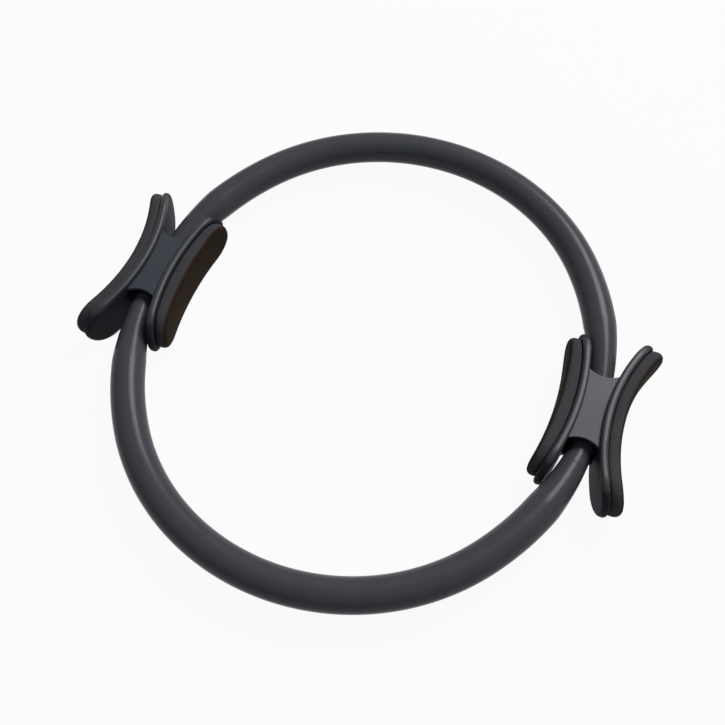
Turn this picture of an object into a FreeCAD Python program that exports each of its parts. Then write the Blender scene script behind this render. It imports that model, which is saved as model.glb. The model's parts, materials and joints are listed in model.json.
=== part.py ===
"""Pilates ring: a sprung oval hoop in a soft sleeve, with two opposite handles of paired padded saddles.

Millimetres. The hoop lies flat: Z is the axis of the ring, the handles stand at +X and -X, and Z = 0 is
the surface that the saddles' lower rims rest on. Pieces are drawn about the hoop's middle plane and lifted.
"""
import FreeCAD, Part
import math
import os
from FreeCAD import Placement, Rotation, Vector

DIMENSIONS = {
    # Hoop, an oval of four tangent arcs through the middle of the rod
    "hoop_half_width": 161.0,
    "hoop_half_length": 179.0,
    "sleeve_diameter": 23.0,
    "rod_diameter": 6.0,
    "rod_clearance": 0.15,
    # Hinges that stand in for the rod's bend; the first stands at a distance along Y from the handle's middle
    "root_reach": 40.0,
    "sleeve_slit": 2.0,
    "rod_slit": 0.9,
    # Sleeve ends, which narrow towards the hub and are rounded at the tip
    "nose_reach": 20.5,
    "taper_drop": 5.0,
    "nose_rounding": 3.0,
    # Saddles, the curved plates on both sides of the hoop; the inner one is bent more tightly than the hoop
    "saddle_width": 38.0,
    "saddle_web": 3.0,
    "saddle_rim": 5.4,
    "rim_rounding": 2.2,
    "outer_saddle_bend": 136.0,
    "inner_saddle_tightening": 25.0,
    "outer_saddle_reach": 64.5,
    "inner_saddle_reach": 57.5,
    # Seats in the saddles' backs, which hold the hub
    "outer_seat_bend": 136.0,
    "inner_seat_bend": 170.0,
    "inner_sleeve_gap": 1.4,
    "outer_sleeve_pinch": 4.1,
    # Foam pads glued on the saddles; the outer face is bent more than its saddle, the inner one less
    "outer_pad_thickness": 9.6,
    "inner_pad_thickness": 10.6,
    "outer_pad_reach": 62.0,
    "inner_pad_reach": 53.0,
    "pad_inset": 2.2,
    "pad_rounding": 4.0,
    "pad_crown_radius": 130.0,
    "outer_pad_tightening": 12.0,
    "inner_pad_easing": 58.0,
    "glue_gap": 0.2,
    # Hub, two shells that close on the ferrule between the saddles
    "hub_half_height": 15.0,
    "hub_face_thickness": 2.5,
    "hub_face_length": 48.0,
    "hub_corner_length": 55.0,
    "hub_arch_radius": 17.5,
    "hub_block_length": 31.0,
    "seat_gap": 0.15,
    # Ferrule and its pins, which join the two half hoops inside each hub
    "ferrule_wall": 2.0,
    "ferrule_length": 26.0,
    "rod_end_gap": 1.0,
    "pin_diameter": 2.5,
    "pin_spacing": 15.0,
    # Countersunk screws through the saddles into the hub shells
    "screw_diameter": 3.0,
    "screw_head_diameter": 6.0,
    "screw_length": 11.0,
    "screw_spacing": 18.0,
    "screw_height": 9.5,
    "screw_fit": 0.1,
}
SHARES = {
    # Part of the hoop's extra length that comes off the crown arc's radius
    "crown_share": 0.5,
    # Place of the second hinge, between the first one and the end of the side arc
    "side_share": 0.56,
    # Place where the sleeve starts to narrow, between the second hinge and the first
    "taper_share": 0.7,
}

X_AXIS = Vector(1, 0, 0)
Y_AXIS = Vector(0, 1, 0)
Z_AXIS = Vector(0, 0, 1)


def work_out(given):
    """Sizes that follow from the driving dimensions."""
    half_width, half_length = given["hoop_half_width"], given["hoop_half_length"]
    extra, share = half_length - half_width, given["crown_share"]
    side_rise = (1 + 2 * share) / (2 * share)
    crown = half_width - share * extra
    side = half_width + side_rise * extra
    sleeve = given["sleeve_diameter"] / 2
    rod = given["rod_diameter"] / 2
    bore = rod + given["rod_clearance"]
    web, rim = given["saddle_web"], given["saddle_rim"]
    outer_back = half_width + sleeve - given["outer_sleeve_pinch"]
    inner_back = half_width - sleeve - given["inner_sleeve_gap"]
    inner_bend = side - given["inner_saddle_tightening"]

    def side_angle(reach):
        return math.degrees(math.asin(reach / side))

    junction = math.degrees(math.atan2(1 + share, side_rise))
    root = side_angle(given["root_reach"])
    side_hinge = root + given["side_share"] * (junction - root)

    return {
        "crown_radius": crown,
        "side_radius": side,
        "side_centre": side - half_width,
        "crown_centre": half_length - crown,
        "junction_angle": junction,
        "root_angle": root,
        "side_hinge_angle": side_hinge,
        "taper_angle": root + given["taper_share"] * (side_hinge - root),
        "nose_angle": side_angle(given["nose_reach"]),
        "ferrule_angle": side_angle(given["ferrule_length"] / 2),
        "pin_angle": side_angle(given["pin_spacing"] / 2),
        "rod_end_angle": side_angle(given["rod_end_gap"] / 2),
        "sleeve_radius": sleeve,
        "rod_radius": rod,
        "bore_radius": bore,
        "ferrule_radius": bore + given["ferrule_wall"],
        "saddle_half_width": given["saddle_width"] / 2,
        "rim_lift": rim - web,
        "inner_saddle_bend": inner_bend,
        "outer_pad_bend": given["outer_saddle_bend"] - given["outer_pad_tightening"],
        "inner_pad_bend": inner_bend + given["inner_pad_easing"],
        "outer_back": outer_back,
        "inner_back": inner_back,
        "hub_middle": (outer_back + inner_back) / 2,
        "seat_half_height": given["hub_half_height"] + 2 * given["seat_gap"],
        "seat_length": given["hub_corner_length"] + 4 * given["seat_gap"],
    }


doc = FreeCAD.newDocument("pilates_ring")
sheet = doc.addObject("Spreadsheet::Sheet", "dims")
GIVEN = {**DIMENSIONS, **SHARES}
SIZES = {**GIVEN, **work_out(GIVEN)}
for row, (alias, value) in enumerate(SIZES.items(), start=1):
    sheet.set(f"A{row}", alias.replace("_", " "))
    sheet.set(f"B{row}", str(value))
    sheet.setAlias(f"B{row}", alias)
doc.recompute()


def size(alias):
    """A size as a number, read from the sheet."""
    return float(sheet.get(alias))


def cell(text):
    """An expression in which every size's name stands for its cell."""
    words = sorted(SIZES, key=len, reverse=True)
    for number, word in enumerate(words):
        text = text.replace(word, f"<{number}>")
    for number, word in enumerate(words):
        text = text.replace(f"<{number}>", f"dims.{word}")
    return text


def bind(item, **sizes):
    """Bind an object's properties to the sheet; x, y and z stand for its place."""
    places = {axis: f"Placement.Base.{axis}" for axis in "xyz"}
    for name, text in sizes.items():
        item.setExpression(places.get(name, name), cell(str(text)))
    return item


def solid(kind, name, turn=None, **sizes):
    """A primitive with its sizes and place bound to the sheet, turned about its own origin."""
    item = doc.addObject(f"Part::{kind}", name)
    if turn is not None:
        item.Placement = Placement(Vector(), turn)
    return bind(item, **sizes)


def cut(name, base, *tools):
    """The base without the tools, taken away one after the other."""
    for number, tool in enumerate(tools, start=1):
        rest = doc.addObject("Part::Cut", f"{name}_cut_{number}")
        rest.Base, rest.Tool = base, tool
        base = rest
    return base


def common(name, *shapes):
    """What all the shapes share."""
    item = doc.addObject("Part::MultiCommon", name)
    item.Shapes = list(shapes)
    return item


def fuse(name, *shapes):
    """All the shapes as one solid."""
    item = doc.addObject("Part::MultiFuse", name)
    item.Shapes = list(shapes)
    item.Refine = True
    return item


def group(name, *shapes):
    """Separate solids that share one node."""
    item = doc.addObject("Part::Compound", name)
    item.Links = list(shapes)
    return item


def round_edges(name, base, radius, wanted):
    """Round the edges of the base that the test picks."""
    doc.recompute()
    item = doc.addObject("Part::Fillet", name)
    item.Base = base
    edges = enumerate(base.Shape.Edges, start=1)
    item.Edges = [(number, radius, radius) for number, edge in edges if wanted(edge)]
    return item


def follows_outline(edge, reach, half_width):
    """Whether an edge runs along the outline of a bar along X with round ends."""
    box = edge.BoundBox
    spot = edge.valueAt((edge.FirstParameter + edge.LastParameter) / 2)
    past_straight = max(abs(spot.y) - (reach - half_width), 0)
    runs_along = max(box.YLength, box.ZLength) > half_width / 10
    return runs_along and abs(math.hypot(past_straight, spot.z) - half_width) < half_width / 1000


parts = []


def finish(item, label, turn=Rotation()):
    """Name a finished sub-part, turn it to its side and lift it to stand on Z = 0."""
    item.Label = label
    item.Placement = Placement(Vector(), turn)
    bind(item, z="saddle_half_width")
    parts.append(item)


def arc_tube(name, bend, radius, start, sweep, x="0", y="0"):
    """A round bar along an arc in the hoop's plane, from a start angle, counter-clockwise."""
    turn = Rotation(Z_AXIS, start)
    return solid("Torus", name, turn, Radius1=bend, Radius2=radius, Angle3=sweep, x=x, y=y)


def side_tube(name, radius, first, last):
    """A round bar along the hoop's right side arc, between two angles from the handle's middle."""
    return arc_tube(name, "side_radius", radius, first, last - first, x="-side_centre")


# Hoop


def crown_tube(name, radius, first, last):
    """A round bar along the hoop's crown arc, between two angles from the X axis."""
    return arc_tube(name, "crown_radius", radius, first, last - first, y="crown_centre")


def slit_angle(slit, bend):
    """Half a slit's width as an angle of an arc."""
    return math.degrees(size(slit) / 2 / size(bend))


def side_link(name, radius, slit):
    """From the hinge beside the handle to the hinge halfway up the side arc."""
    trim = slit_angle(slit, "side_radius")
    return side_tube(name, radius, size("root_angle") + trim, size("side_hinge_angle") - trim)


def tapered_radius(angle):
    """The sleeve's radius at an angle of the side arc, where it narrows towards the handle."""
    return f"sleeve_radius - taper_drop * (taper_angle - {angle}) / (taper_angle - nose_angle)"


def side_skin(name, radius, slit):
    """The sleeve of the side link: narrow beside the handle, and full from where its taper ends."""
    trim = slit_angle(slit, "side_radius")
    first, last = size("root_angle") + trim, size("taper_angle")
    angles = [first + (last - first) * number / 3 for number in range(4)]
    rings = [solid("Circle", f"{name}_ring_{number}", Rotation(Z_AXIS, angle).multiply(Rotation(X_AXIS, 90)),
                   Radius=tapered_radius(angle), x=f"-side_centre + side_radius * cos({angle})",
                   y=f"side_radius * sin({angle})") for number, angle in enumerate(angles, start=1)]
    taper = doc.addObject("Part::Loft", f"{name}_taper")
    taper.Sections, taper.Solid = rings, True
    full = side_tube(f"{name}_full", radius, last, size("side_hinge_angle") - trim)
    return fuse(name, taper, full)


def shoulder_link(name, radius, slit):
    """From the side arc round to the hinge halfway up the crown arc."""
    junction = size("junction_angle")
    low = side_tube(f"{name}_low", radius, size("side_hinge_angle") + slit_angle(slit, "side_radius"),
                    junction)
    high = crown_tube(f"{name}_high", radius, junction,
                      (junction + 90) / 2 - slit_angle(slit, "crown_radius"))
    return fuse(name, low, high)


def crown_link(name, radius, slit):
    """From the hinge halfway up the crown arc to the top of the crown."""
    trim = slit_angle(slit, "crown_radius")
    return crown_tube(name, radius, (size("junction_angle") + 90) / 2 + trim, 90 - trim)


def make_hoop():
    """Both half hoops, a quarter at a time; links are numbered from the left handle to the right one."""
    quarters = (("upper", (6, 5, 4), Rotation()), ("upper", (1, 2, 3), Rotation(Y_AXIS, 180)),
                ("lower", (6, 5, 4), Rotation(X_AXIS, 180)), ("lower", (1, 2, 3), Rotation(Z_AXIS, 180)))
    for half, numbers, turn in quarters:
        links = (side_link, side_skin), (shoulder_link, shoulder_link), (crown_link, crown_link)
        for number, (link, skin) in zip(numbers, links):
            name = f"{half}_{number}"
            sleeve = cut(f"{name}_sleeve", skin(f"{name}_skin", "sleeve_radius", "sleeve_slit"),
                         link(f"{name}_bore", "bore_radius", "sleeve_slit"))
            finish(sleeve, f"{half}_sleeve_{number}", turn)
            rod = link(f"{name}_rod_bar", "rod_radius", "rod_slit")
            finish(group(f"{name}_rod", rod), f"{half}_rod_{number}", turn)


# Handles


def upright(name, radius, height, x, y="0"):
    """A cylinder about a vertical axis, centred on the hoop's middle plane."""
    return solid("Cylinder", name, Radius=radius, Height=height, x=x, y=y, z=f"-({height}) / 2")


def stadium(name, reach, half_width, x, depth):
    """A bar along X with flat faces above and below and round ends, centred on a place x."""
    start = f"{x} - ({depth}) / 2"
    straight = f"({reach} - ({half_width}))"
    middle = solid("Box", f"{name}_middle", Length=depth, Width=f"2 * {straight}",
                   Height=f"2 * ({half_width})", x=start, y=f"-{straight}", z=f"-({half_width})")
    along = Rotation(Z_AXIS, X_AXIS)
    ends = [solid("Cylinder", f"{name}_end_{number}", along, Radius=half_width, Height=depth, x=start,
                  y=f"{sign}{straight}") for number, sign in enumerate("+-", start=1)]
    return fuse(name, middle, *ends)


def facing(which):
    """Which way a saddle's pad faces along X."""
    return 1 if which == "outer" else -1


def bend_axis(which, bend):
    """Where a cylinder that just meets the bottom of the hub's seat in a saddle has its axis."""
    return f"{which}_back {'+' if facing(which) > 0 else '-'} {which}_{bend}_bend"


def screw_spots():
    """Signs of the four screws' places along Y and Z."""
    return [(along, up) for along in "+-" for up in "+-"]


def saddle_screw(name, which, along, up, fit="0", head_run="0"):
    """One countersunk screw along X; with a fit and a head run it is the hole for that screw."""
    sign = "+" if facing(which) > 0 else "-"
    inwards = Rotation(Z_AXIS, X_AXIS * -facing(which))
    top = f"{which}_back {sign} saddle_web"
    place = {"y": f"{along}screw_spacing / 2", "z": f"{up}screw_height"}
    radius, head = f"screw_diameter / 2 + {fit}", f"screw_head_diameter / 2 + {fit}"
    shank = solid("Cylinder", f"{name}_shank", inwards, Radius=radius, Height=f"screw_length + {fit}",
                  x=top, **place)
    sink = solid("Cone", f"{name}_sink", inwards, Radius1=head, Radius2=radius,
                 Height="(screw_head_diameter - screw_diameter) / 2", x=top, **place)
    if head_run == "0":
        return fuse(name, shank, sink)
    way_in = solid("Cylinder", f"{name}_way_in", inwards, Radius=head, Height=head_run,
                   x=f"{top} {sign} ({head_run})", **place)
    return fuse(name, shank, sink, way_in)


def sleeve_nose(name, start):
    """The sleeve's tapered end in the hub's mouth, from an angle of the side arc to its rounded tip."""
    half_turn = (start - size("nose_angle")) / 2
    along = math.radians(start - half_turn)
    towards_handle = Vector(math.sin(along), -math.cos(along), 0)
    cone = solid("Cone", f"{name}_taper", Rotation(Z_AXIS, towards_handle),
                 Radius1=tapered_radius(start), Radius2="sleeve_radius - taper_drop",
                 Height=f"2 * side_radius * sin({half_turn})",
                 x=f"-side_centre + side_radius * cos({start})", y=f"side_radius * sin({start})")
    tip = size("sleeve_radius") - size("taper_drop")

    def is_tip(edge):
        return hasattr(edge.Curve, "Radius") and abs(edge.Curve.Radius - tip) < tip / 1000

    return round_edges(f"{name}_tip", cone, size("nose_rounding"), is_tip)


def make_sleeve_ends(side, turn):
    """The ends of the two half hoops' sleeves, held still between the saddles."""
    root = size("root_angle") - slit_angle("sleeve_slit", "side_radius")
    ends = []
    for half, over in (("upper", Rotation()), ("lower", Rotation(X_AXIS, 180))):
        name = f"{side}_{half}_sleeve_end"
        end = cut(name, sleeve_nose(name, root), side_tube(f"{name}_bore", "bore_radius", 0, 2 * root))
        end.Placement = Placement(Vector(), over)
        ends.append(end)
    finish(group(f"{side}_sleeve_ends", *ends), f"{side}_sleeve_ends", turn)


def make_saddle(side, which, turn):
    """A curved plate with a bull-nosed rim, a seat for the hub in its back, and screw holes."""
    name = f"{side}_{which}_saddle"
    axis, seat_axis = bend_axis(which, "saddle"), bend_axis(which, "seat")
    bend, seat_bend, back = f"{which}_saddle_bend", f"{which}_seat_bend", f"{which}_back"
    ring = cut(f"{name}_ring", upright(f"{name}_rim_back", f"{bend} + rim_lift", "saddle_width", axis),
               upright(f"{name}_face", f"{bend} - saddle_web", "saddle_width", axis))
    outline = stadium(f"{name}_outline", f"{which}_saddle_reach", "saddle_half_width", back,
                      f"2 * {which}_saddle_reach")
    plate = common(f"{name}_plate", ring, outline)

    def on_rim(edge):
        return follows_outline(edge, size(f"{which}_saddle_reach"), size("saddle_half_width"))

    rounded = round_edges(f"{name}_rounded", plate, size("rim_rounding"), on_rim)
    tall = "2 * seat_half_height"
    hollow = cut(f"{name}_hollow",
                 upright(f"{name}_hollow_out", f"{seat_bend} + 3 * rim_lift", tall, seat_axis),
                 upright(f"{name}_hollow_in", seat_bend, tall, seat_axis))
    seat = common(f"{name}_seat", hollow,
                  solid("Box", f"{name}_run", Length="2 * seat_length", Width="seat_length",
                        Height="saddle_width", x=f"{back} - seat_length", y="-seat_length / 2",
                        z="-saddle_half_width"))
    holes = [saddle_screw(f"{name}_hole_{number}", which, along, up, "screw_fit", "saddle_web")
             for number, (along, up) in enumerate(screw_spots(), start=1)]
    finish(cut(name, rounded, seat, *holes), name, turn)


def crowned_ring(axis_x, side, face, depth, half_width, crown):
    """A ring about an upright axis whose inner wall, where hands press, swells inwards across its width."""
    drop = crown - math.sqrt(crown**2 - half_width**2)

    def spot(radius, height):
        return Vector(axis_x + side * radius, 0, height)

    corners = [spot(face + drop, half_width), spot(face + depth, half_width), spot(face + depth, -half_width),
               spot(face + drop, -half_width)]
    sides = [Part.makeLine(first, second) for first, second in zip(corners, corners[1:])]
    bulge = Part.Arc(corners[-1], spot(face, 0), corners[0]).toShape()
    return Part.Face(Part.Wire(sides + [bulge])).revolve(Vector(axis_x, 0, 0), Z_AXIS, 360)


def make_pad(side, which, turn):
    """A crowned foam pad with soft outer edges, set in from the saddle's rim and thinner at its ends."""
    name = f"{side}_{which}_pad"
    thickness, reach = size(f"{which}_pad_thickness"), size(f"{which}_pad_reach")
    half_width = size("saddle_half_width") - size("pad_inset")
    outline = stadium(f"{name}_outline", f"{which}_pad_reach", "saddle_half_width - pad_inset",
                      f"{which}_back", f"2 * {which}_saddle_reach")
    seat = upright(f"{name}_seat", f"{which}_saddle_bend - saddle_web - glue_gap", "saddle_width",
                   bend_axis(which, "saddle"))
    doc.recompute()
    face = size(f"{which}_pad_bend")
    face_axis = size(f"{which}_back") + facing(which) * (size("saddle_web") + thickness + face)
    ring = crowned_ring(face_axis, facing(which), face, 2 * reach, size("saddle_half_width"),
                        size("pad_crown_radius"))
    block = ring.common(seat.Shape).common(outline.Shape)

    def on_face(edge):
        spot = edge.Vertexes[0].Point
        from_seat = seat.Radius.Value - math.hypot(spot.x - seat.Placement.Base.x, spot.y)
        return from_seat > thickness / 4 and follows_outline(edge, reach, half_width)

    item = doc.addObject("Part::Feature", name)
    item.Shape = block.makeFillet(size("pad_rounding"), [edge for edge in block.Edges if on_face(edge)])
    finish(item, name, turn)


def make_screws(side, which, turn):
    """Four screws that hold a saddle to both hub shells, under its pad."""
    name = f"{side}_{which}_saddle_screws"
    screws = [saddle_screw(f"{name}_{number}", which, along, up)
              for number, (along, up) in enumerate(screw_spots(), start=1)]
    finish(group(name, *screws), name, turn)


def make_hub_shell(side, which, turn):
    """Half of the hub: a flat face with arched ends over a block that holds half of the ferrule."""
    name = f"{side}_hub_{which}_shell"
    blank = solid("Box", f"{name}_blank", Length="outer_back - inner_back + 2 * saddle_rim",
                  Width="hub_corner_length", Height="hub_half_height",
                  x="inner_back - saddle_rim", y="-hub_corner_length / 2")
    tall = "3 * hub_half_height"
    sides = [upright(f"{name}_{saddle}_side", f"{saddle}_seat_bend + seat_gap", tall,
                     bend_axis(saddle, "seat")) for saddle in ("outer", "inner")]
    arches = [upright(f"{name}_arch_{number}", "hub_arch_radius", tall, "hub_middle",
                      f"{sign}(hub_face_length / 2 + hub_arch_radius)")
              for number, sign in enumerate("+-", start=1)]
    mouths = [solid("Box", f"{name}_mouth_{number}", Length="outer_back - inner_back + 4 * saddle_rim",
                    Width="hub_corner_length", Height="2 * (hub_half_height - hub_face_thickness)",
                    x="inner_back - 2 * saddle_rim", y=start, z="-(hub_half_height - hub_face_thickness)")
              for number, start in enumerate(("hub_block_length / 2",
                                              "-hub_block_length / 2 - hub_corner_length"), start=1)]
    root = size("root_angle")
    seat = side_tube(f"{name}_ferrule_seat", "ferrule_radius + seat_gap", -root, root)
    holes = [saddle_screw(f"{name}_{saddle}_hole_{number}", saddle, along, "+", "screw_fit", "saddle_web")
             for saddle in ("outer", "inner") for number, along in enumerate("+-", start=1)]
    finish(cut(name, blank, *sides, *arches, *mouths, seat, *holes), name, turn)


def pin(name, sign, fit="0"):
    """One pin down through the ferrule and a rod end; with a fit it is the hole for that pin."""
    return upright(name, f"pin_diameter / 2 + {fit}", f"2 * ferrule_radius + 2 * {fit}",
                   "-side_centre + side_radius * cos(pin_angle)", f"{sign}side_radius * sin(pin_angle)")


def make_rod_joint(side, turn):
    """The ferrule in the hub, the two rod ends that meet in it, and the pins that hold them."""
    name = f"{side}_ferrule"
    reach = size("ferrule_angle")
    pin_holes = [pin(f"{name}_hole_{number}", sign, "screw_fit") for number, sign in enumerate("+-", start=1)]
    ferrule = cut(name, side_tube(f"{name}_tube", "ferrule_radius", -reach, reach),
                  side_tube(f"{name}_bore", "bore_radius", -2 * reach, 2 * reach), *pin_holes)
    finish(ferrule, name, turn)
    first = size("rod_end_angle")
    last = size("root_angle") - slit_angle("rod_slit", "side_radius")
    ends = [cut(f"{side}_rod_end_{number}", side_tube(f"{side}_rod_end_bar_{number}", "rod_radius", *span),
                pin(f"{side}_rod_end_hole_{number}", sign, "screw_fit"))
            for number, (sign, span) in enumerate((("+", (first, last)), ("-", (-last, -first))), start=1)]
    finish(group(f"{side}_rod_ends", *ends), f"{side}_rod_ends", turn)
    pins = [pin(f"{side}_ferrule_pin_{number}", sign) for number, sign in enumerate("+-", start=1)]
    finish(group(f"{side}_ferrule_pins", *pins), f"{side}_ferrule_pins", turn)


def make_handle(side, turn):
    """One handle, drawn at the right of the hoop and turned to its side."""
    make_hub_shell(side, "front", turn)
    make_hub_shell(side, "rear", turn.multiply(Rotation(X_AXIS, 180)))
    for which in ("outer", "inner"):
        make_saddle(side, which, turn)
        make_pad(side, which, turn)
        make_screws(side, which, turn)
    make_rod_joint(side, turn)
    make_sleeve_ends(side, turn)


def check_model():
    """Stop if any object failed or any sub-part is not a sound solid."""
    for item in doc.Objects:
        if {"Invalid", "Error"} & set(item.State):
            raise RuntimeError(f"{item.Name} failed: {item.State}")
    for item in parts:
        if item.Shape.isNull() or not item.Shape.isValid() or not item.Shape.Solids:
            raise RuntimeError(f"{item.Label} is not a sound solid")


make_hoop()
make_handle("right", Rotation())
make_handle("left", Rotation(Z_AXIS, 180))
doc.recompute()
check_model()

os.makedirs("parts", exist_ok=True)
for item in parts:
    item.Shape.exportStep(f"parts/{item.Label}.step")
print(f"{len(parts)} sub-parts written")
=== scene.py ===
"""Looks of a pilates ring: satin sleeve on a sprung hoop, moulded saddles and hubs, foam pads.

Metres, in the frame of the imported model: the ring lies on Z = 0 with its handles at +X and -X.
"""
import json
import math
from collections import namedtuple

import bmesh
import bpy
from mathutils import Matrix, Vector


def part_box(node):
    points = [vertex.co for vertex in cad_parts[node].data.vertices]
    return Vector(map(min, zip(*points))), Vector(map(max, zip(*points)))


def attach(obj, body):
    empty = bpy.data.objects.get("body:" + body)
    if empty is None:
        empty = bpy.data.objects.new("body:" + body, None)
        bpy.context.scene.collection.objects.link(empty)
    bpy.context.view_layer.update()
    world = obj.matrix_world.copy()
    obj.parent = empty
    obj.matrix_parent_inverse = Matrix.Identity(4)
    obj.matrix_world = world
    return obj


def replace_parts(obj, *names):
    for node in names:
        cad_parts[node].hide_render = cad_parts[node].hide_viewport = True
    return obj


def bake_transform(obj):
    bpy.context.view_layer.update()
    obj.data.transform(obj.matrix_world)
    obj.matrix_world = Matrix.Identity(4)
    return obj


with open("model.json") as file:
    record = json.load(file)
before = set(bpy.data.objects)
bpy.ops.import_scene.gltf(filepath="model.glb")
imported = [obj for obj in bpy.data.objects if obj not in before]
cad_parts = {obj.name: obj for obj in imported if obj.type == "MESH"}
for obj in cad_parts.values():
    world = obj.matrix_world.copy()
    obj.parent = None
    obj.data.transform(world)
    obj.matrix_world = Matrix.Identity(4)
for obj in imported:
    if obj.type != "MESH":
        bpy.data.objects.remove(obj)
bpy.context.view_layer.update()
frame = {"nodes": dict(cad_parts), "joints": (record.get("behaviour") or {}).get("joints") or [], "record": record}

NODES = frame["nodes"]
HINGES = {joint["name"]: Vector(joint["pos_m"]) for joint in frame["joints"]}

# Hoop: a crown arc and a side arc in each quarter, tangent where they meet
HOOP_HALF_WIDTH = 0.161
CROWN_RADIUS = 0.152
HOOP_HALF_LENGTH = HINGES["hoop_squeeze"].y
MIDDLE_Z = HINGES["hoop_squeeze"].z
CROWN_CENTRE_Y = HOOP_HALF_LENGTH - CROWN_RADIUS
SIDE_RADIUS = ((HOOP_HALF_WIDTH**2 + CROWN_CENTRE_Y**2 - CROWN_RADIUS**2)
               / (2 * (HOOP_HALF_WIDTH - CROWN_RADIUS)))
SIDE_CENTRE_X = HOOP_HALF_WIDTH - SIDE_RADIUS
CROWN_CENTRE = Vector((0, CROWN_CENTRE_Y, MIDDLE_Z))
SIDE_CENTRE = Vector((SIDE_CENTRE_X, 0, MIDDLE_Z))

# Sleeve: a hollow run that narrows beside each handle and ends there in a rounded nose
SLEEVE_RADIUS = (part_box("upper_sleeve_4")[1].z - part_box("upper_sleeve_4")[0].z) / 2
BORE_RADIUS = 0.00315
SLEEVE_SIDES = 64
RING_SPACING = 0.003
FEWEST_STEPS = 2
TAPER_START_Y = 0.0724
TAPER_DROP = 0.004
NOSE_Y = 0.0205
NOSE_ROUNDING = 0.003
NOSE_RINGS = 8
DOME_RINGS = 8
DOME_TURN = math.radians(72)

# Where a sleeve's bend at a handle ends, in the hub
STILL_Y = 0.033

# The links of a half hoop are numbered from 1 to 6, between the two handles
LEFT_HANDLE = 0
RIGHT_HANDLE = 7

# Foam pads
FOAM_VOXEL = 0.0011
FOAM_SMOOTHING = 6
FOAM_EASING = 0.5
# How far a pad's surface turns towards its pressing face, from no painted shade to full painted shade
PAINTED_SHADE_FADE = (0.45, 0.8)
MERGE_DISTANCE = 1e-6

# Height from the ring's middle plane over which a saddle's dull back turns into its worn rim
WORN_RIM = (0.0150, 0.0168)

# Share of a metal's tone that is left where its polish is dull
DULL_TONE = 0.85

SHARP_ANGLE = math.radians(40)
QUARTER_TURN = math.radians(90)
Z_AXIS = Vector((0, 0, 1))
Arc = namedtuple("Arc", "centre radius first last")


class Channel:
    """A number that varies over a surface; sums and products of such numbers become shader nodes."""

    def __init__(self, finish, socket):
        self.finish = finish
        self.socket = socket

    def work_out(self, operation, first, second):
        """A Math node for two numbers, of which one or both vary."""
        return self.finish.node("ShaderNodeMath", {"operation": operation}, {0: first, 1: second})

    def __add__(self, other):
        return self.work_out("ADD", self, other)

    def __radd__(self, other):
        return self.work_out("ADD", other, self)

    def __sub__(self, other):
        return self.work_out("SUBTRACT", self, other)

    def __rsub__(self, other):
        return self.work_out("SUBTRACT", other, self)

    def __mul__(self, other):
        return self.work_out("MULTIPLY", self, other)

    def __rmul__(self, other):
        return self.work_out("MULTIPLY", other, self)


class Finish:
    """One material, built node by node around its surface shader."""

    def __init__(self, name, **constants):
        self.material = bpy.data.materials.new(name)
        self.material.use_nodes = True
        self.tree = self.material.node_tree
        self.shader = self.tree.nodes["Principled BSDF"]
        for socket, value in constants.items():
            self.shader.inputs[socket.replace("_", " ")].default_value = value

    def node(self, kind, settings=None, sockets=None, output=0):
        """Any node: its settings first, then the values or links of its sockets."""
        made = self.tree.nodes.new(kind)
        for name, value in (settings or {}).items():
            setattr(made, name, value)
        for name, value in (sockets or {}).items():
            self.feed(made.inputs[name], value)
        return Channel(self, made.outputs[output])

    def feed(self, socket, value):
        """Link a varying value to a socket, or set a plain one on it."""
        if isinstance(value, Channel):
            self.tree.links.new(value.socket, socket)
        else:
            socket.default_value = value

    def surface(self, **sockets):
        """Feed the surface shader."""
        for name, value in sockets.items():
            self.feed(self.shader.inputs[name.replace("_", " ")], value)

    def place(self):
        """Where a point lies on the object."""
        return self.node("ShaderNodeTexCoord", output="Object")

    def noise(self, grain_size, detail=2.0, roughness=0.5):
        """Soft mottling whose blotches are about a grain size across, from 0 to 1."""
        return self.node("ShaderNodeTexNoise", None, {"Vector": self.place(), "Scale": 1 / grain_size,
                                                      "Detail": detail, "Roughness": roughness})

    def cells(self, cell_size):
        """Distance from the middle of the nearest foam cell, in cell sizes."""
        return self.node("ShaderNodeTexVoronoi", None, {"Vector": self.place(), "Scale": 1 / cell_size})

    def painted(self, layer):
        """A share that the mesh itself carries."""
        return self.node("ShaderNodeAttribute", {"attribute_name": layer}, output="Fac")

    def mix(self, share, first, second):
        """Two colours, mixed by a varying share."""
        return self.node("ShaderNodeMix", {"data_type": "RGBA"}, {0: share, 6: first, 7: second}, output=2)

    def spread(self, value, low, high):
        """A value stretched so that low becomes 0 and high becomes 1, and kept between."""
        return self.node("ShaderNodeMapRange", {"clamp": True},
                         {"Value": value, "From Min": low, "From Max": high})

    def relief(self, height, depth):
        """Bumps of a given depth in metres, as a normal."""
        return self.node("ShaderNodeBump", None, {"Height": height, "Distance": depth, "Strength": 1.0})


def sleeve_finish():
    """Smooth, satin, blue-black rubber with faint handling marks."""
    finish = Finish("sleeve_rubber", Specular_IOR_Level=0.11)
    blotches = finish.noise(grain_size=0.012, detail=4)
    pores = finish.noise(grain_size=0.0006)
    finish.surface(
        Base_Color=finish.mix(blotches, (0.046, 0.048, 0.054, 1), (0.056, 0.057, 0.064, 1)),
        Roughness=0.19 + 0.07 * blotches + 0.04 * pores,
        Normal=finish.relief(pores, depth=0.000012))
    return finish.material


def hub_finish():
    """Injection-moulded plastic with a fine eroded texture."""
    finish = Finish("hub_plastic", Specular_IOR_Level=0.25)
    blotches = finish.noise(grain_size=0.02, detail=3)
    texture = finish.noise(grain_size=0.0005, detail=3)
    finish.surface(
        Base_Color=finish.mix(blotches, (0.036, 0.039, 0.049, 1), (0.045, 0.048, 0.059, 1)),
        Roughness=0.38 + 0.08 * blotches + 0.05 * texture,
        Normal=finish.relief(texture, depth=0.00003))
    return finish.material


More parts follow.
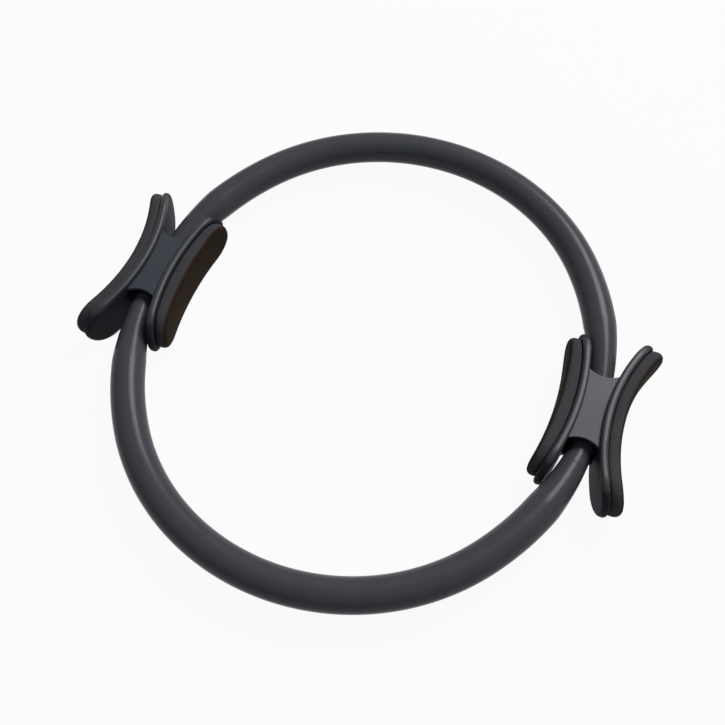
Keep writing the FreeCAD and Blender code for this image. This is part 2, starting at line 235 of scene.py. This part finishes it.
def saddle_finish():
    """The same plastic, moulded dull on the plates' backs and worn to a sheen on their rims."""
    finish = Finish("saddle_plastic", Specular_IOR_Level=0.04, Coat_Roughness=0.5, Coat_IOR=1.5)
    blotches = finish.noise(grain_size=0.02, detail=3)
    texture = finish.noise(grain_size=0.0005, detail=3)
    height = finish.node("ShaderNodeSeparateXYZ", None, {0: finish.place()}, output="Z")
    from_middle = finish.node("ShaderNodeMath", {"operation": "ABSOLUTE"}, {0: height - MIDDLE_Z})
    finish.surface(
        Base_Color=finish.mix(blotches, (0.018, 0.019, 0.023, 1), (0.025, 0.026, 0.031, 1)),
        Roughness=0.5 + 0.1 * texture,
        Coat_Weight=finish.spread(from_middle, *WORN_RIM),
        Normal=finish.relief(texture, depth=0.00003))
    return finish.material


def foam_finish():
    """Closed-cell foam, grey-black, with painted shade: the pressing face, which the light reaches less, is
    coloured a darker brown-black.
    """
    finish = Finish("pad_foam", Specular_IOR_Level=0.06)
    cells = finish.cells(cell_size=0.0009)
    grain = finish.noise(grain_size=0.0007, detail=4, roughness=0.65)
    blotches = finish.noise(grain_size=0.015, detail=3)
    speckle = finish.spread(grain, low=0.35, high=0.7)
    mottle = 0.5 * speckle + 0.5 * blotches
    foam_colour = finish.mix(mottle, (0.034, 0.032, 0.034, 1), (0.060, 0.056, 0.059, 1))
    # Painted shade: a darker brown-black for the pressing face, where less light falls
    painted_shade = finish.mix(mottle, (0.016, 0.009, 0.004, 1), (0.027, 0.017, 0.008, 1))
    finish.surface(
        Base_Color=finish.mix(finish.painted("painted_shade"), foam_colour, painted_shade),
        Roughness=0.72 + 0.18 * speckle,
        Normal=finish.relief(0.6 * grain + 0.4 * cells, depth=0.0002))
    return finish.material


def metal_finish(name, colour, roughness):
    """Blackened or plated metal with fine uneven polish."""
    finish = Finish(name, Metallic=1.0)
    polish = finish.noise(grain_size=0.002, detail=4)
    dull_colour = (*(DULL_TONE * part for part in colour[:3]), 1)
    finish.surface(
        Base_Color=finish.mix(polish, colour, dull_colour),
        Roughness=roughness + 0.12 * polish)
    return finish.material


def fibre_finish():
    """Pultruded glass fibre, pale resin with long streaks broken up by the rod's bend."""
    finish = Finish("rod_fibre", Specular_IOR_Level=0.5)
    streaks = finish.noise(grain_size=0.0008, detail=4)
    finish.surface(
        Base_Color=finish.mix(streaks, (0.42, 0.38, 0.27, 1), (0.62, 0.58, 0.45, 1)),
        Roughness=0.35 + 0.15 * streaks,
        Normal=finish.relief(streaks, depth=0.00004))
    return finish.material


FINISHES = {
    "sleeve_rubber": sleeve_finish(),
    "saddle_plastic": saddle_finish(),
    "hub_plastic": hub_finish(),
    "pad_foam": foam_finish(),
    "rod_fibre": fibre_finish(),
    "ferrule_metal": metal_finish("ferrule_metal", (0.05, 0.05, 0.055, 1), roughness=0.5),
    "fastener_steel": metal_finish("fastener_steel", (0.55, 0.55, 0.56, 1), roughness=0.25),
}


def dress(piece, slot):
    """Give a piece the finish of a slot."""
    piece.data.materials.clear()
    piece.data.materials.append(FINISHES[slot])


def keep(bm, name, slot):
    """Turn a finished bmesh into a smooth-shaded piece with the finish of its slot."""
    bmesh.ops.recalc_face_normals(bm, faces=bm.faces[:])
    mesh = bpy.data.meshes.new(name)
    bm.to_mesh(mesh)
    bm.free()
    mesh.shade_smooth()
    mesh.set_sharp_from_angle(angle=SHARP_ANGLE)
    piece = bpy.data.objects.new(name, mesh)
    bpy.context.scene.collection.objects.link(piece)
    dress(piece, slot)
    return piece


# Making the sleeve


def on_arc(arc, angle):
    """A point of an arc's own line."""
    return arc.centre + arc.radius * Vector((math.cos(angle), math.sin(angle), 0))


def arc_angle(centre, point):
    """Where a point lies round an arc's centre."""
    return math.atan2(point.y - centre.y, point.x - centre.x)


def edges_of(geometry):
    """The edges in what an operator made."""
    return [item for item in geometry if isinstance(item, bmesh.types.BMEdge)]


def verts_of(edges):
    """The corners of some edges, each once, in an order that is the same at every run."""
    return list(dict.fromkeys(vert for edge in edges for vert in edge.verts))


def ring(bm, radius, arc):
    """A circle across the start of an arc."""
    place = (Matrix.Translation(on_arc(arc, arc.first)) @ Matrix.Rotation(arc.first, 4, "Z")
             @ Matrix.Rotation(QUARTER_TURN, 4, "X"))
    made = bmesh.ops.create_circle(bm, segments=SLEEVE_SIDES, radius=radius, matrix=place)
    return list(dict.fromkeys(edge for vert in made["verts"] for edge in vert.link_edges))


def rescale(bm, verts, share):
    """Scale a circle about its own middle."""
    middle = sum((vert.co for vert in verts), Vector()) / len(verts)
    bmesh.ops.scale(bm, vec=(share, share, share), verts=verts, space=Matrix.Translation(-middle))


def side_radius_at(angle):
    """The sleeve's radius on a side arc, where it narrows gently towards the handle."""
    start, end = (math.asin(y / SIDE_RADIUS) for y in (TAPER_START_Y, NOSE_Y))
    return SLEEVE_RADIUS - TAPER_DROP * max(0, (start - angle) / (start - end))


def follow(bm, edges, arc, radius_at):
    """Spin a circle along an arc, with the radius of each place, and return the circle at its end."""
    steps = max(FEWEST_STEPS, round(abs(arc.last - arc.first) * arc.radius / RING_SPACING))
    turn = (arc.last - arc.first) / steps
    for number in range(steps):
        made = bmesh.ops.spin(bm, geom=edges + verts_of(edges), cent=arc.centre, axis=Z_AXIS,
                              angle=turn, steps=1)
        edges = edges_of(made["geom_last"])
        angle = arc.first + turn * number
        rescale(bm, verts_of(edges), radius_at(angle + turn) / radius_at(angle))
    return edges


def next_ring(bm, edges, step, share):
    """Extrude a circle by a step, scaled about its own middle, and return the new circle."""
    made = bmesh.ops.extrude_edge_only(bm, edges=edges)["geom"]
    verts = [item for item in made if isinstance(item, bmesh.types.BMVert)]
    rescale(bm, verts, share)
    bmesh.ops.translate(bm, vec=step, verts=verts)
    new = set(verts)
    return [item for item in edges_of(made) if item.verts[0] in new and item.verts[1] in new]


def rounded_end(bm, edges, along, profile):
    """Close a run with rings whose distance along it and radius follow a profile."""
    reached, radius = profile[0]
    for distance, new_radius in profile[1:]:
        edges = next_ring(bm, edges, along * (distance - reached), new_radius / radius)
        reached, radius = distance, new_radius
    return edges


def nose_profile(radius):
    """Rounding of the sleeve's tip."""
    turns = [QUARTER_TURN * number / NOSE_RINGS for number in range(NOSE_RINGS + 1)]
    return [(NOSE_ROUNDING * math.sin(turn), radius - NOSE_ROUNDING * (1 - math.cos(turn)))
            for turn in turns]


def dome_profile(radius):
    """A ball's curve that fills the bend where the open hinge turns."""
    turns = [DOME_TURN * number / DOME_RINGS for number in range(DOME_RINGS + 1)]
    return [(radius * math.sin(turn), radius * math.cos(turn)) for turn in turns]


def sleeve_run(name, arc, quarter, nose=False, dome=False):
    """A stretch of hollow sleeve along an arc of the first quarter, moved to another quarter."""
    radius_at = side_radius_at if arc.centre == SIDE_CENTRE else lambda angle: SLEEVE_RADIUS
    bm = bmesh.new()
    first_outer = ring(bm, radius_at(arc.first), arc)
    first_inner = ring(bm, BORE_RADIUS, arc)
    outer = follow(bm, first_outer, arc, radius_at)
    inner = follow(bm, first_inner, arc, lambda angle: BORE_RADIUS)
    if dome:
        back = Vector((-math.sin(arc.first), math.cos(arc.first), 0))
        first_outer = rounded_end(bm, first_outer, back, dome_profile(radius_at(arc.first)))
    bmesh.ops.bridge_loops(bm, edges=first_outer + first_inner)
    if nose:
        ahead = Vector((math.sin(arc.last), -math.cos(arc.last), 0))
        outer = rounded_end(bm, outer, ahead, nose_profile(radius_at(arc.last)))
        inner = next_ring(bm, inner, ahead * NOSE_ROUNDING, 1)
    bmesh.ops.bridge_loops(bm, edges=outer + inner)
    bmesh.ops.scale(bm, vec=(*quarter, 1), verts=bm.verts[:])
    return keep(bm, name, "sleeve_rubber")


def make_sleeves():
    """Both half hoops' sleeves, as stretches that each run across one hinge of the rod."""
    shoulder = arc_angle(CROWN_CENTRE, HINGES["upper_bend_5"])
    side_hinge = arc_angle(SIDE_CENTRE, HINGES["upper_bend_6"])
    root = arc_angle(SIDE_CENTRE, HINGES["upper_bend_7"])
    junction = arc_angle(SIDE_CENTRE, CROWN_CENTRE)
    crown_cut = (QUARTER_TURN + shoulder) / 2
    side_cut = (side_hinge + root) / 2
    nose_start, still = (math.asin(y / SIDE_RADIUS) for y in (NOSE_Y + NOSE_ROUNDING, STILL_Y))
    runs = {
        "shoulder": (Arc(CROWN_CENTRE, CROWN_RADIUS, crown_cut, junction), (4, 5)),
        "side": (Arc(SIDE_CENTRE, SIDE_RADIUS, junction, side_cut), (5, 6)),
        "root": (Arc(SIDE_CENTRE, SIDE_RADIUS, side_cut, nose_start), (6, RIGHT_HANDLE)),
    }
    for half, up in (("upper", 1), ("lower", -1)):
        crown = Arc(CROWN_CENTRE, CROWN_RADIUS, math.pi - crown_cut, crown_cut)
        piece = sleeve_run(f"{half}_sleeve_crown", crown, (1, up))
        bend_between(piece, half, (3, 4))
        for hand, across in (("left", -1), ("right", 1)):
            for part, (arc, links) in runs.items():
                name = f"{half}_sleeve_{hand}_{part}"
                if (half, hand, part) == ("lower", "right", "root"):
                    open_root(name, arc, root, (across, up))
                    continue
                piece = sleeve_run(name, arc, (across, up), nose=part == "root")
                numbers = links if hand == "right" else tuple(RIGHT_HANDLE - number for number in links)
                end = still if part == "root" else arc.last
                bend_between(piece, half, numbers)


def sleeve_node(half, number):
    """The sleeve's solid on the link of a number, or the sleeve ends in a handle."""
    ends = {LEFT_HANDLE: "left_sleeve_ends", RIGHT_HANDLE: "right_sleeve_ends"}
    return ends.get(number, f"{half}_sleeve_{number}")


def bend_between(piece, half, numbers):
    """Bake a stretch of sleeve's placement into its mesh and hide the sleeve solids of the links it runs between.
    """
    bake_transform(piece)
    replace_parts(piece, *(sleeve_node(half, number) for number in numbers))


def open_root(name, arc, root, quarter):
    """The stretch beside the open hinge: a run on the last link, and a tip on the handle with a ball end."""
    run = sleeve_run(name, arc._replace(last=root), quarter)
    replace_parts(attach(run, "lower_link_6"), "lower_sleeve_6")
    tip = sleeve_run(f"{name}_tip", arc._replace(first=root), quarter, nose=True, dome=True)
    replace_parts(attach(tip, "right_handle"), "right_sleeve_ends")


# Making the pads


def merged_copy(node):
    """A node's own shape as one closed mesh."""
    bm = bmesh.new()
    bm.from_mesh(NODES[node].data)
    bmesh.ops.remove_doubles(bm, verts=bm.verts[:], dist=MERGE_DISTANCE)
    return bm


def make_pad(side, which):
    """A foam pad: even surface, soft edges all round, seated on its saddle, with its pressing face marked for the
    painted shade.
    """
    node = f"{side}_{which}_pad"
    rough = keep(merged_copy(node), f"{node}_rough", "pad_foam")
    remesh = rough.modifiers.new("cells", "REMESH")
    remesh.mode = "VOXEL"
    remesh.voxel_size = FOAM_VOXEL
    even = bpy.data.meshes.new_from_object(rough.evaluated_get(bpy.context.evaluated_depsgraph_get()))
    bpy.data.objects.remove(rough)
    bm = bmesh.new()
    bm.from_mesh(even)
    for _ in range(FOAM_SMOOTHING):
        bmesh.ops.smooth_vert(bm, verts=bm.verts[:], factor=FOAM_EASING,
                              use_axis_x=True, use_axis_y=True, use_axis_z=True)
    pad = keep(bm, f"{side}_{which}_foam", "pad_foam")
    outwards = (1 if side == "right" else -1) * (1 if which == "outer" else -1)
    # Painted shade: mark how far each point faces the pressing side, for the darker brown colour that the foam
    # finish paints there
    painted_shade = pad.data.attributes.new("painted_shade", "FLOAT", "POINT")
    low, high = PAINTED_SHADE_FADE
    for place, normal in zip(painted_shade.data, pad.data.vertex_normals):
        place.value = min(1, max(0, (outwards * normal.vector.x - low) / (high - low)))
    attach(pad, f"{side}_handle")
    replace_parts(pad, node)


def dress_nodes():
    """Finishes for the solids that show as they are."""
    for subpart in frame["record"]["subparts"]:
        node = NODES[subpart["node"]]
        if not node.hide_render:
            dress(node, subpart["material_slot"])


# Studio

CAMERA_PLACE = Vector((0.11568, -0.32159, 0.605))
CAMERA_AIM = Vector((0.00242, -0.01577, 0.019))
CAMERA_ROLL = math.radians(0.661)
CAMERA_LENS = 48.51
NEAREST_SEEN = 0.01
KEY_PLACE = Vector((0.60, 1.50, 1.90))
KEY_SIZE = 1.1
KEY_POWER = 60.0
SKY_LEVEL = 0.34
SKY_COLOUR = (0.84, 0.91, 1.0, 1)
FLOOR_SIZE = 80.0
FLOOR_DROP = 0.0003
FLOOR_GLOW = 0.94
FLOOR_COLOUR = (0.5, 0.5, 0.5, 1)
WHITE = (1, 1, 1, 1)


def make_camera():
    """The photo's own view of the ring."""
    camera = bpy.data.objects.new("camera", bpy.data.cameras.new("camera"))
    bpy.context.scene.collection.objects.link(camera)
    camera.data.lens = CAMERA_LENS
    camera.data.clip_start = NEAREST_SEEN
    camera.data.clip_end = 2 * FLOOR_SIZE
    camera.location = CAMERA_PLACE
    aim = (CAMERA_AIM - CAMERA_PLACE).to_track_quat("-Z", "Y")
    camera.rotation_mode = "QUATERNION"
    camera.rotation_quaternion = aim @ Matrix.Rotation(CAMERA_ROLL, 3, "Z").to_quaternion()
    bpy.context.scene.camera = camera


def make_lamp(name, place, lamp_size, power):
    """A square soft box that faces the ring."""
    lamp = bpy.data.lights.new(name, "AREA")
    lamp.size = lamp_size
    lamp.energy = power
    item = bpy.data.objects.new(name, lamp)
    bpy.context.scene.collection.objects.link(item)
    item.location = place
    item.rotation_euler = place.to_track_quat("Z", "Y").to_euler()


def make_floor():
    """White floor that glows white to the eye and in reflections, and keeps a soft shadow."""
    bm = bmesh.new()
    bmesh.ops.create_grid(bm, x_segments=1, y_segments=1, size=FLOOR_SIZE / 2,
                          matrix=Matrix.Translation((0, 0, -FLOOR_DROP)))
    mesh = bpy.data.meshes.new("floor")
    bm.to_mesh(mesh)
    bm.free()
    floor = bpy.data.objects.new("floor", mesh)
    bpy.context.scene.collection.objects.link(floor)
    finish = Finish("floor_white", Base_Color=FLOOR_COLOUR, Roughness=0.9, Specular_IOR_Level=0.0)
    rays = finish.tree.nodes.new("ShaderNodeLightPath").outputs
    seen = sum((Channel(finish, rays[name]) for name in ("Is Glossy Ray", "Is Transmission Ray")),
               Channel(finish, rays["Is Camera Ray"]))
    glow = finish.node("ShaderNodeEmission", None, {"Color": WHITE, "Strength": 1.0})
    share = finish.node("ShaderNodeMath", {"operation": "MULTIPLY", "use_clamp": True},
                        {0: seen, 1: FLOOR_GLOW})
    mixed = finish.node("ShaderNodeMixShader", None,
                        {0: share, 1: Channel(finish, finish.shader.outputs[0]), 2: glow})
    finish.feed(finish.tree.nodes["Material Output"].inputs["Surface"], mixed)
    mesh.materials.append(finish.material)


def make_studio():
    """Pale sky, white floor and one soft box."""
    world = bpy.data.worlds.new("studio")
    bpy.context.scene.world = world
    world.use_nodes = True
    backdrop = world.node_tree.nodes["Background"].inputs
    backdrop["Color"].default_value = SKY_COLOUR
    backdrop["Strength"].default_value = SKY_LEVEL
    make_floor()
    make_lamp("key", KEY_PLACE, KEY_SIZE, KEY_POWER)
    bpy.context.scene.view_settings.view_transform = "Standard"


make_camera()
make_studio()
make_sleeves()
for handle in ("left", "right"):
    for pad_side in ("outer", "inner"):
        make_pad(handle, pad_side)
dress_nodes()
